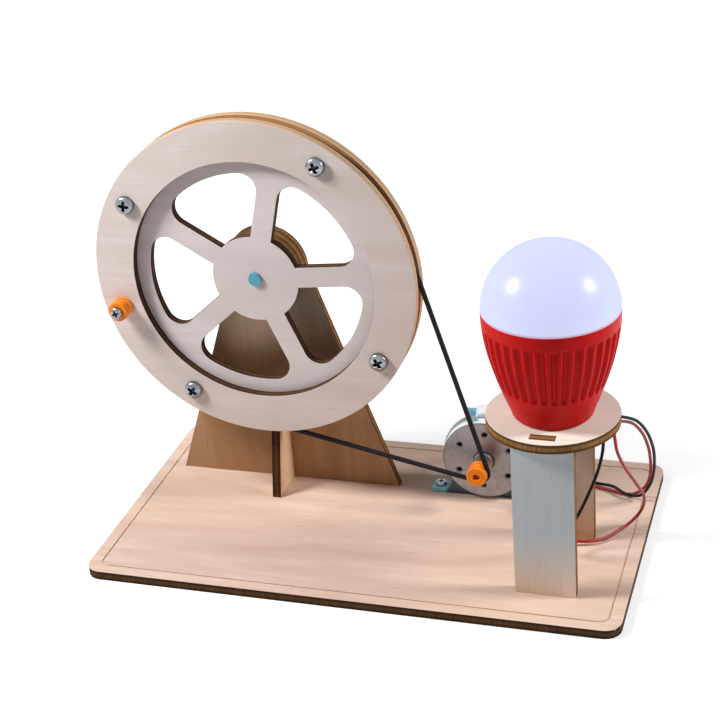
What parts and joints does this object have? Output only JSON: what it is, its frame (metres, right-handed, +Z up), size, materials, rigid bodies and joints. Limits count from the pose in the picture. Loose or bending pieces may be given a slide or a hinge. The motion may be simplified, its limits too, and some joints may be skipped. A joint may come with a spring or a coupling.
{
  "type": "hand crank generator",
  "caption": "Plywood demonstration generator: a hand-cranked spoked wheel drives a small motor through a round belt, and two wires light a ribbed lamp on a stand.",
  "frame": {"origin": "centre of the underside of the base plate", "axes": "+X along the base from the wheel to the lamp, +Y from the crank side to the back, +Z up"},
  "size_m": [0.1673, 0.09, 0.1275],
  "materials": {
    "plywood": "bare laser-cut birch plywood with burnt edges",
    "zinc_steel": "zinc plated",
    "light_blue_plastic": "satin",
    "orange_plastic": "gloss",
    "belt_rubber": "matt black rubber",
    "bright_steel": "bright drawn steel",
    "core_steel": "stamped sheet stack",
    "copper": "enamelled copper",
    "brass": "plain",
    "black_plastic": "satin",
    "magnet": "sintered ferrite",
    "carbon": "pressed carbon",
    "red_plastic": "gloss, moulded",
    "white_plastic": "milky, satin",
    "board": "white solder resist",
    "diode": "yellow phosphor",
    "red_insulation": "soft, satin",
    "black_insulation": "soft, satin"
  },
  "bodies": {
    "frame": {"base_plate": "plywood", "wheel_stand_plate": "plywood", "stand_cross_plate": "plywood", "bearing_disc_front": "plywood", "bearing_disc_middle": "plywood", "bearing_disc_rear": "plywood", "drive_belt": "belt_rubber", "motor_can": "bright_steel", "motor_end_cap": "black_plastic", "motor_magnets": "magnet", "front_bush": "brass", "rear_bush": "brass", "motor_brushes": "carbon", "motor_terminals": "brass", "motor_bracket": "light_blue_plastic", "bracket_screws": "zinc_steel", "lamp_post_front": "plywood", "lamp_post_rear": "plywood", "lamp_platform": "plywood", "lamp_housing": "red_plastic", "lamp_dome": "white_plastic", "lamp_board": "board", "lamp_diodes": "diode", "red_wire": "red_insulation", "black_wire": "black_insulation"},
    "wheel": {"wheel_front_ring": "plywood", "wheel_spoked_disc": "plywood", "wheel_rear_ring": "plywood", "wheel_screws": "zinc_steel", "wheel_nuts": "zinc_steel", "axle": "light_blue_plastic", "axle_collar": "light_blue_plastic", "crank_pin": "zinc_steel", "crank_pin_nut": "zinc_steel"},
    "knob": {"crank_knob": "orange_plastic"},
    "rotor": {"drive_pulley": "orange_plastic", "motor_shaft": "bright_steel", "armature_core": "core_steel", "armature_windings": "copper", "commutator": "copper"}
  },
  "joints": [
    {"name": "wheel_spin", "type": "hinge", "parent": "frame", "child": "wheel", "pos_m": [-0.0359, 0.0076, 0.0775], "axis": [0, 1, 0], "continuous": true},
    {"name": "pulley_spin", "type": "hinge", "parent": "frame", "child": "rotor", "pos_m": [0.029, 0.0076, 0.0168], "axis": [0, 1, 0], "continuous": true},
    {"name": "knob_spin", "type": "hinge", "parent": "wheel", "child": "knob", "pos_m": [-0.0786, 0, 0.06733], "axis": [0, 1, 0], "continuous": true}
  ],
  "couplings": [
    {"joint": "pulley_spin", "follows": "wheel_spin", "ratio": 16.18}
  ]
}
